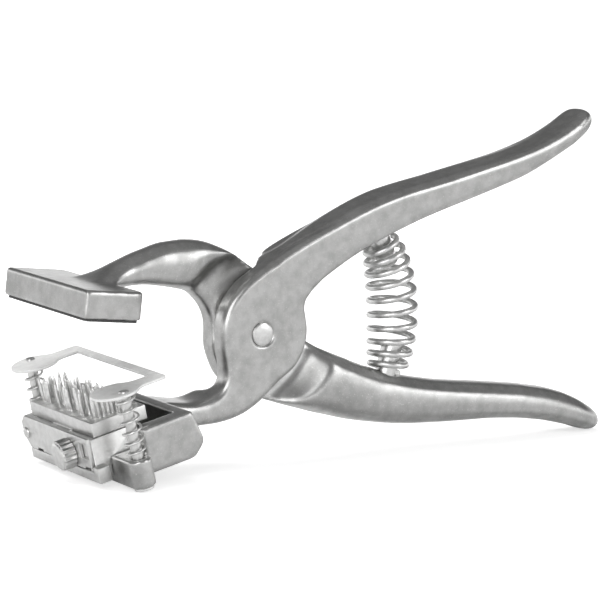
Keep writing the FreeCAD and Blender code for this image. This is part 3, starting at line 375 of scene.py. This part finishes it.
def nearestOn(spine, x, z):
    # the closest spot of the spine with the values that hold there
    best = None
    for first, second in zip(spine, spine[1:]):
        dx, dz = second[0] - first[0], second[1] - first[1]
        share = ramp((x - first[0]) * dx + (z - first[1]) * dz, 0, dx * dx + dz * dz)
        spot = [a + (b - a) * share for a, b in zip(first, second)]
        gap = math.hypot(x - spot[0], z - spot[1])
        if best is None or gap < best[0]:
            best = (gap, spot)
    return best[1]


def limbShare(limb, x, y, z):
    # nothing before the first value of each fade, all of it past the second
    share = smoothStep(ramp(x, *limb["tip"])) if "tip" in limb else 1.0
    for axis, amount in (("x", x), ("y", abs(y)), ("z", z)):
        if axis in limb["fades"]:
            share *= ramp(amount, *limb["fades"][axis])
    return share


def roundLimb(mesh, values, limb):
    # draws the corners of a limb's section in towards a rounder one; near the pivot the
    # section is the half that the lap leaves
    holeShare = 0.2  # closer to the spine lies only the wall of a hole
    for point in mesh.vertices:
        x, y, z = (point.co - pivot) / mm
        amount = limbShare(limb, x, y, z)
        if amount <= 0:
            continue
        px, pz, half, taller, wider = nearestOn(limb["spine"], x, z)
        reach = math.hypot(x, z)
        lap = smoothStep(ramp(reach, *values["lap"]))
        soft = smoothStep(ramp(reach, values["lap"][0], limb["brim"]))
        middle = values["keptSide"] * halfWidth * (1 - lap) / 2
        u = abs(y - middle) / (halfWidth * (1 + lap) / 2)
        v = math.hypot(x - px, z - pz) / half
        largest = max(u, v)
        if largest < holeShare:
            continue
        n = values["nearPower"] if y < middle else values["farPower"]
        scale = largest / (u ** n + v ** n) ** (1 / n)
        raised = smoothStep(ramp(y, -halfWidth, halfWidth))
        raised *= smoothStep(ramp(reach, *values["tallerOver"]))
        taller *= 1 + values["farTaller"] * raised
        full = smoothStep(ramp(reach, *values["roundsOver"]))
        tall = 1 + (scale * taller - 1) * amount * full
        wide = 1 + (scale * wider - 1) * full
        across = values["keptSide"] * halfWidth * (1 - soft) / 2
        across += (y - middle) * (1 + soft) / (1 + lap) * wide
        point.co = pivot + Vector((px + (x - px) * tall, y + (across - y) * amount,
                                   pz + (z - pz) * tall)) * mm


def castPiece(name, values):
    piece = mergedCopy(name, values["label"])
    skin = piece.modifiers.new("evenSkin", "REMESH")
    skin.mode = "VOXEL"
    skin.voxel_size = values["voxel"] * mm
    mesh = applyModifiers(piece)
    for limb in values["limbs"]:
        roundLimb(mesh, values, limb)
    group = piece.vertex_groups.new(name="softened")
    for point in mesh.vertices:
        amount = softness(point.co, values["zones"], values["fade"])
        if amount > 0:
            group.add([point.index], amount, "REPLACE")
    for label, rounds, where in (("allSoft", values["light"], ""),
                                 ("zoneSoft", values["heavy"], group.name)):
        smooth = piece.modifiers.new(label, "SMOOTH")
        smooth.factor = 0.5
        smooth.iterations = rounds
        smooth.vertex_group = where
    mesh = applyModifiers(piece)
    piece.vertex_groups.clear()
    mesh.shade_smooth()
    mesh.materials.clear()
    mesh.materials.append(metals["castNickel"])
    standIn(piece, name)


for name, values in castings.items():
    castPiece(name, values)
print("scene: castings softened")


# Machined pieces

machined = {
    # each block and plate gets its real broken edges, this wide
    "holder_block": dict(label="holderBlock", edge=0.35 * mm, finish="milledBlock"),
    "digit_cassette": dict(label="digitCassette", edge=0.35 * mm, finish="milledBlock"),
    "gate_plate": dict(label="gatePlate", edge=0.25 * mm, finish="milledBlock"),
    "release_plate": dict(label="releasePlate", edge=0.3 * mm, finish="rolledSheet"),
    "anvil_pad": dict(label="anvilPad", edge=0.2 * mm, finish="mouldedRubber"),
}
edging = dict(flat=1, sharp=30, shade=35, segments=3)  # angles at which faces meet


def edgedPiece(name, values):
    piece = mergedCopy(name, values["label"])
    shape = bmesh.new()
    shape.from_mesh(piece.data)
    bmesh.ops.dissolve_limit(shape, angle_limit=math.radians(edging["flat"]),
                             verts=shape.verts, edges=shape.edges)
    turn = math.radians(edging["sharp"])
    sharp = [edge for edge in shape.edges
             if len(edge.link_faces) == 2 and edge.calc_face_angle() > turn]
    bmesh.ops.bevel(shape, geom=sharp, offset=values["edge"], offset_type="OFFSET",
                    affect="EDGES", segments=edging["segments"], profile=0.5, material=-1,
                    clamp_overlap=False)
    shape.to_mesh(piece.data)
    shape.free()
    piece.data.shade_smooth()
    piece.data.set_sharp_from_angle(angle=math.radians(edging["shade"]))
    piece.data.materials.clear()
    piece.data.materials.append(bpy.data.materials[values["finish"]])
    standIn(piece, name)


for name, values in machined.items():
    edgedPiece(name, values)
print("scene: machined pieces edged")


# Digits, clamp screw and gate screw

# the head leans as the release plate's slide does
slide = next(joint for joint in frame["joints"] if joint["name"] == "release_slide")
headUp = -Vector(slide["axis"]).normalized()
headAcross = Vector((headUp.z, 0, -headUp.x))
headTurn = Matrix((headAcross, Vector((0, 1, 0)), headUp)).transposed()

digits = dict(
    # a needle's radius in mm and share of the height, ground round and blunt at its point;
    # it leans by leanMost at most and is shortLeast to shortMost mm short; no two needles
    # stand closer than apart
    needle=[(0.62, 0.0), (0.60, 0.55), (0.52, 0.78), (0.36, 0.92), (0.17, 0.985), (0.0, 1.0)],
    sides=12, leanMost=3.0, shortLeast=0.05, shortMost=0.5, apart=1.0 * mm,
    baseEdge=0.15 * mm)
turned = {
    # profiles run from the middle of the face to the foot: radius, depth behind the face,
    # in mm; outside the radius fluted, the rim is cut by flutes as deep as a share of it
    "clamp_screw": dict(
        label="clampScrew", sides=108, flutes=18, depth=0.08, fluted=4.7, lift=1.0,
        profile=[(0, 0), (3.6, 0.05), (4.2, 0.25), (4.6, 0.6), (4.8, 0.8), (5.2, 1.0),
                 (5.25, 1.3), (5.25, 5.2), (5.0, 5.45), (1.8, 5.5), (1.8, 14), (0, 14)]),
    "gate_pivot_screw": dict(
        label="gatePivotScrew", sides=32, flutes=0, depth=0, fluted=0, lift=-0.1,
        profile=[(0, 0), (0.9, 0.05), (1.5, 0.2), (1.9, 0.5), (2.0, 0.8), (1.2, 0.8),
                 (1.2, 5.3), (0, 5.3)]),
}
crease = 40  # faces of a turned piece that meet at more than this stay sharp


def inHead(spot):
    return headTurn.transposed() @ (spot - pivot)


def turnProfile(shape, profile, sides):
    # a line of corners given as radius and height is spun once around
    kept = set(shape.verts)
    line = [shape.verts.new((radius, 0, height)) for radius, height in profile]
    edges = [shape.edges.new(pair) for pair in zip(line, line[1:])]
    bmesh.ops.spin(shape, geom=line + edges, cent=(0, 0, 0), axis=(0, 0, 1),
                   angle=2 * math.pi, steps=sides)
    made = [point for point in shape.verts if point not in kept]
    bmesh.ops.remove_doubles(shape, verts=made, dist=0.001 * mm)
    return [point for point in shape.verts if point not in kept]


def headPiece(shape, label, name, finish):
    # the shape is drawn in the leaning head's own directions
    bmesh.ops.transform(shape, matrix=Matrix.Translation(pivot) @ headTurn.to_4x4(),
                        verts=shape.verts)
    bmesh.ops.recalc_face_normals(shape, faces=shape.faces)
    mesh = bpy.data.meshes.new(label)
    shape.to_mesh(mesh)
    shape.free()
    mesh.shade_smooth()
    mesh.set_sharp_from_angle(angle=math.radians(crease))
    mesh.materials.append(finish)
    standIn(addObject(label, mesh), name)


def addDigit(number):
    # the base keeps its packed size, and a needle stands at each packed point
    name = "digit_%d" % number
    close = 0.01 * mm
    spots = [inHead(point.co) for point in nodes[name].data.vertices]
    foot = min(spot.z for spot in spots)
    tip = max(spot.z for spot in spots)
    top = min(spot.z for spot in spots if spot.z > foot + 10 * close)
    base = [spot for spot in spots if spot.z < foot + close]
    low = Vector([min(spot[i] for spot in base) for i in range(3)])
    high = Vector([max(spot[i] for spot in base) for i in range(2)] + [top])
    shape = bmesh.new()
    block = bmesh.ops.create_cube(shape, size=1.0)["verts"]
    bmesh.ops.scale(shape, vec=high - low, verts=block)
    bmesh.ops.translate(shape, vec=(high + low) / 2, verts=block)
    bmesh.ops.bevel(shape, geom=shape.edges[:], offset=digits["baseEdge"], affect="EDGES",
                    segments=2, profile=0.5, material=-1)
    tips = [spot for spot in spots if spot.z > tip - close]
    points = []
    for spot in tips:
        if all((spot - other).length > digits["apart"] for other in points):
            points.append(spot)
    chance = random.Random(number)
    for point in points:
        around = [spot for spot in tips if (spot - point).length < digits["apart"]]
        middle = sum(around, Vector()) / len(around)
        short = chance.uniform(digits["shortLeast"], digits["shortMost"]) * mm
        height = tip - top - short
        needle = turnProfile(shape, [(radius * mm, share * height)
                                     for radius, share in digits["needle"]], digits["sides"])
        for axis in "XY":
            lean = math.radians(chance.uniform(-1, 1) * digits["leanMost"])
            bmesh.ops.rotate(shape, matrix=Matrix.Rotation(lean, 3, axis), verts=needle)
        bmesh.ops.translate(shape, vec=(middle.x, middle.y, top), verts=needle)
    headPiece(shape, "needles%d" % number, name, metals["groundNeedle"])


def addTurned(name, values):
    # the piece is turned about its packed axis, with its face lifted a little
    spots = [inHead(point.co) for point in nodes[name].data.vertices]
    face = min(spot.x for spot in spots)
    middle = [(min(s[i] for s in spots) + max(s[i] for s in spots)) / 2 for i in (1, 2)]
    shape = bmesh.new()
    made = turnProfile(shape, [(radius * mm, -depth * mm)
                               for radius, depth in values["profile"]], values["sides"])
    for point in made:
        if values["flutes"] and math.hypot(*point.co.xy) > values["fluted"] * mm:
            wave = 0.5 - 0.5 * math.cos(values["flutes"] * math.atan2(point.co.y, point.co.x))
            point.co.xy *= 1 - values["depth"] * wave
    bmesh.ops.rotate(shape, matrix=Matrix.Rotation(-math.pi / 2, 3, "Y"), verts=made)
    bmesh.ops.translate(shape, vec=(face - values["lift"] * mm, *middle), verts=made)
    headPiece(shape, values["label"], name, metals["turnedSteel"])


for number in range(1, 6):
    addDigit(number)
for name, values in turned.items():
    addTurned(name, values)
print("scene: digits and screws made")


# Springs

springs = {
    # tops and feet are x and z from the pivot, slopes lean from upright, in degrees;
    # closing draws the end turns together
    "main_spring": dict(label="mainSpring", wire=2.3 * mm, ends=13.2 * mm, middle=19.1 * mm,
                        turns=10, fullness=0.6, closing=-0.03, topSeat=2.4 * mm,
                        footSeat=0.2 * mm, top=(51.7 * mm, 32.5 * mm), topSlope=24.3,
                        foot=(56.9 * mm, -19.0 * mm), footSlope=13.5, pegged=2.0 * mm),
    # along the head, then up and down from the pivot's level there
    "release": dict(wire=0.8 * mm, width=7.2 * mm, turns=6, closing=-0.012,
                    along=-69.2 * mm, foot=-17.2 * mm, top=5.0 * mm, seat=0.1 * mm),
}
stepsPerTurn = 28


def coilPiece(label, wire, turns, radiusAt, lineAt, closing, finish):
    curve = bpy.data.curves.new(label, "CURVE")
    curve.dimensions = "3D"
    curve.bevel_depth = wire / 2
    curve.bevel_resolution = 4
    curve.use_fill_caps = True
    wireLine = curve.splines.new("POLY")
    wireLine.points.add(stepsPerTurn * turns)
    for i, point in enumerate(wireLine.points):
        t = i / (stepsPerTurn * turns)
        spot, cross = lineAt(t + closing * math.sin(2 * math.pi * t))
        angle = 2 * math.pi * turns * t
        outward = cross * math.cos(angle) + Vector((0, math.sin(angle), 0))
        point.co = (*(spot + outward * radiusAt(t)), 1)
    drawn = addObject(label + "Drawn", curve)
    mesh = finished(drawn)
    bpy.data.objects.remove(drawn)
    mesh.name = label
    mesh.shade_smooth()
    mesh.materials.clear()
    mesh.materials.append(finish)
    return addObject(label, mesh)


def bentLine(foot, fromFoot, top, intoTop):
    # a line that leaves both ends squarely; it gives a point and the direction across it
    reach = (top - foot).length / 3
    first = foot + fromFoot * reach
    second = top - intoTop * reach

    def at(t):
        u = 1 - t
        spot = foot * u ** 3 + first * (3 * u * u * t) + second * (3 * u * t * t) + top * t ** 3
        along = (first - foot) * u * u + (second - first) * 2 * u * t + (top - second) * t * t
        return spot, Vector((along.z, 0, -along.x)).normalized()
    return at


def addMainSpring():
    values = springs["main_spring"]
    top = pivot + Vector((values["top"][0], 0, values["top"][1]))
    foot = pivot + Vector((values["foot"][0], 0, values["foot"][1]))
    topSlope, footSlope = math.radians(values["topSlope"]), math.radians(values["footSlope"])
    intoTop = Vector((-math.sin(topSlope), 0, math.cos(topSlope)))
    fromFoot = Vector((math.sin(footSlope), 0, math.cos(footSlope)))
    topInset = values["topSeat"] + values["wire"] / 2
    footInset = values["footSeat"] + values["wire"] / 2
    endRadius = (values["ends"] - values["wire"]) / 2
    middleRadius = (values["middle"] - values["wire"]) / 2

    def radiusAt(t):
        bulge = math.sin(math.pi * t) ** values["fullness"]
        return endRadius + (middleRadius - endRadius) * bulge

    line = bentLine(foot + fromFoot * footInset, fromFoot, top - intoTop * topInset, intoTop)
    spring = coilPiece(values["label"], values["wire"], values["turns"], radiusAt, line,
                       values["closing"], metals["platedWire"])
    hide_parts("main_spring")
    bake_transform(spring)


def addReleaseSprings():
    values = springs["release"]
    inset = values["seat"] + values["wire"] / 2
    radius = (values["width"] - values["wire"]) / 2
    for side in ("near", "far"):
        guide = pivot + headAcross * values["along"]
        guide.y = sum(corner.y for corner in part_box("guide_pin_" + side)) / 2
        foot = guide + headUp * (values["foot"] + inset)
        top = guide + headUp * (values["top"] - inset)
        spring = coilPiece("releaseSpring" + side.capitalize(), values["wire"],
                           values["turns"], lambda t: radius,
                           bentLine(foot, headUp, top, headUp), values["closing"],
                           metals["platedWire"])
        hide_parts("release_spring_" + side)
        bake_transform(spring)


addMainSpring()
addReleaseSprings()
print("scene: springs coiled")


# Table, backdrop and light

studio = dict(
    # the table glows from glowNear to glowFar between two distances; the sky is three
    # levels of grey between heights, from the horizon at 0 to straight up at 1
    tableColour="#e6e6e6", tableSize=40.0, glowNear=0.58, glowFar=1.0, glowFrom=0.22,
    glowTo=0.75, mirrored=0.08, skyLow=1.7, skyMid=0.20, skyHigh=0.32, lowEnds=0.10,
    midStarts=0.30, midEnds=0.6, highStarts=0.85)
lamps = {
    # power in watts, width of the square; the metal doesn't mirror the one overhead
    "overLamp": dict(power=8.5, width=0.8, place=(-0.15, 0.45, 1.0), mirrored=False),
    "frontLamp": dict(power=2.6, width=0.5, place=(0.56, -0.82, 0.5), mirrored=True),
    "fillLamp": dict(power=5.0, width=0.8, place=(-0.9, -0.8, 0.5), mirrored=True),
}
lampAim = Vector((0, 0, 0.05))


def addTable():
    mesh = bpy.data.meshes.new("tableTop")
    shape = bmesh.new()
    bmesh.ops.create_grid(shape, x_segments=1, y_segments=1, size=studio["tableSize"])
    shape.to_mesh(mesh)
    shape.free()
    material, tree, place = startMaterial("whiteTable")
    matt = addNode(tree, "ShaderNodeBsdfDiffuse",
                   {"Color": linearColour(studio["tableColour"])})
    ray = addNode(tree, "ShaderNodeLightPath")
    # the camera sees the lit table with a glow that whitens it, and fully white far away
    reach = addNode(tree, "ShaderNodeVectorMath", {"operation": "LENGTH"}, {0: place})
    glowAt = addRange(tree, reach.outputs[1], studio["glowFrom"], studio["glowTo"],
                      studio["glowNear"], studio["glowFar"])
    seen = addNode(tree, "ShaderNodeMath", {"operation": "MULTIPLY"},
                   {0: ray.outputs["Is Camera Ray"], 1: glowAt})
    # the metal mirrors the table a little brighter than it is lit
    power = addNode(tree, "ShaderNodeMath",
                    {"operation": "MULTIPLY_ADD", 1: studio["mirrored"]},
                    {0: ray.outputs["Is Glossy Ray"], 2: seen.outputs[0]})
    glow = addNode(tree, "ShaderNodeEmission", {"Color": (1, 1, 1, 1)},
                   {"Strength": power.outputs[0]})
    both = addNode(tree, "ShaderNodeAddShader", links={0: matt.outputs[0], 1: glow.outputs[0]})
    addNode(tree, "ShaderNodeOutputMaterial", links={"Surface": both.outputs[0]})
    mesh.materials.append(material)
    addObject("tableTop", mesh)


def addWorld():
    # a white backdrop low down, a dark room above it and a pale ceiling
    world = bpy.data.worlds.new("softStudio")
    bpy.context.scene.world = world
    world.use_nodes = True
    tree = world.node_tree
    tree.nodes.clear()
    way = addNode(tree, "ShaderNodeTexCoord").outputs["Generated"]
    height = addNode(tree, "ShaderNodeSeparateXYZ", links={0: way})
    lower = addRange(tree, height.outputs["Z"], studio["lowEnds"], studio["midStarts"],
                     studio["skyLow"], studio["skyMid"], "SMOOTHSTEP")
    upper = addRange(tree, height.outputs["Z"], studio["midEnds"], studio["highStarts"],
                     0.0, studio["skyHigh"] - studio["skyMid"], "SMOOTHSTEP")
    room = addNode(tree, "ShaderNodeMath", {"operation": "ADD"}, {0: lower, 1: upper})
    ray = addNode(tree, "ShaderNodeLightPath")
    power = addNode(tree, "ShaderNodeMix", {"data_type": "FLOAT", 3: 1.0},
                    {0: ray.outputs["Is Camera Ray"], 2: room.outputs[0]})
    sky = addNode(tree, "ShaderNodeBackground", {"Color": (1, 1, 1, 1)},
                  {"Strength": power.outputs[0]})
    addNode(tree, "ShaderNodeOutputWorld", links={"Surface": sky.outputs[0]})


def addLamp(name, values):
    light = bpy.data.lights.new(name, "AREA")
    light.energy = values["power"]
    light.size = values["width"]
    lamp = addObject(name, light)
    lamp.location = values["place"]
    lamp.visible_glossy = values["mirrored"]
    way = lampAim - Vector(values["place"])
    lamp.rotation_euler = way.to_track_quat("-Z", "Y").to_euler()


addTable()
addWorld()
for name, values in lamps.items():
    addLamp(name, values)


# Camera

# found by fitting the middle plane, the disc and the jaw box of the photograph
view = dict(azimuth=-31.18, elevation=9.3, lens=180.0, sensor=36.0,
            aside=17.37 * mm, above=10.78 * mm, away=1053 * mm, lean=2.044)


def addCamera():
    turn = math.radians(view["azimuth"])
    lift = math.radians(view["elevation"])
    right = Vector((math.cos(turn), math.sin(turn), 0))
    back = Vector((math.sin(turn) * math.cos(lift), -math.cos(turn) * math.cos(lift),
                   math.sin(lift)))
    up = back.cross(right)
    spot = right * view["aside"] + up * view["above"] + back * view["away"]
    pose = Matrix((right, up, back)).transposed().to_4x4()
    pose.translation = spot
    lean = Matrix.Rotation(math.radians(-view["lean"]), 4, "Y")
    lens = bpy.data.cameras.new("photoCamera")
    lens.lens = view["lens"]
    lens.sensor_width = view["sensor"]
    camera = addObject("photoCamera", lens)
    camera.matrix_world = Matrix.Translation(pivot) @ lean @ pose
    bpy.context.scene.camera = camera


addCamera()
bpy.context.scene.view_settings.view_transform = "Standard"
print("scene: table, lamps and camera placed")
